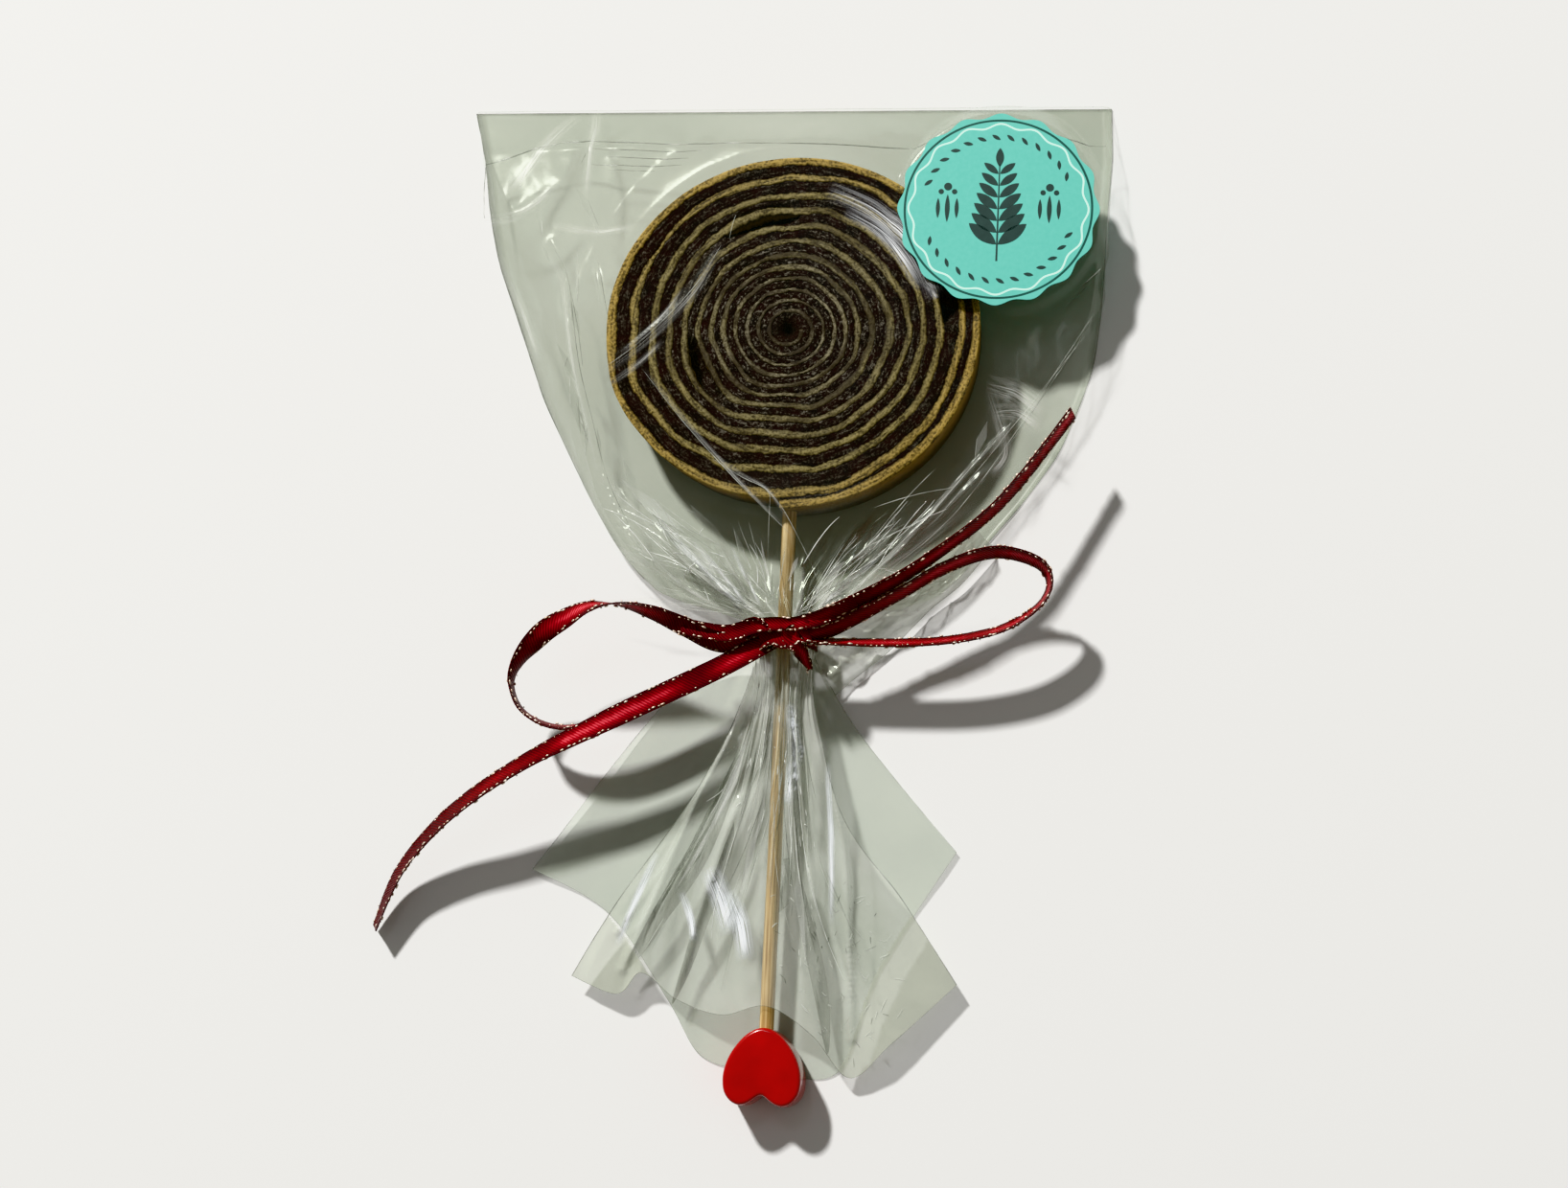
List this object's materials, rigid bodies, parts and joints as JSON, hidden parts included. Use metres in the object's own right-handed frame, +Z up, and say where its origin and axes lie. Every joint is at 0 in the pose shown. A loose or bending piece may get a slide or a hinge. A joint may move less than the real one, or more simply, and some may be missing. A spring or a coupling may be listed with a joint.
{
  "type": "fruit leather lollipop",
  "caption": "Spiral roll of dark and yellow fruit leather on a bamboo stick with a heart bead, in a clear film bag tied with a satin ribbon bow and marked with a scalloped sticker.",
  "frame": {"origin": "on the table under the middle of the whole model's bounding box", "axes": "+X to the right of the shown side, +Y along the stick from the heart bead to the roll, +Z up from the table through the shown side, as the lollipop lies on its back"},
  "size_m": [0.1078, 0.153, 0.0157],
  "materials": {
    "yellow_leather": "dried yellow fruit puree, dull, with fine pulp grain",
    "dark_leather": "dried dark berry puree, dull, with fine pulp grain",
    "bamboo": "bare split bamboo with fine lengthwise fibre",
    "red_lacquer": "wood under glossy red lacquer",
    "clear_film": "clear crinkled cellophane",
    "mint_paper": "satin printed paper sticker",
    "red_satin": "woven satin with metallic thread along both edges"
  },
  "bodies": {
    "root": {"leather_yellow": "yellow_leather", "leather_dark": "dark_leather", "stick": "bamboo", "heart_bead": "red_lacquer", "bag": "clear_film", "sticker": "mint_paper", "ribbon_bow": "red_satin"}
  },
  "joints": []
}
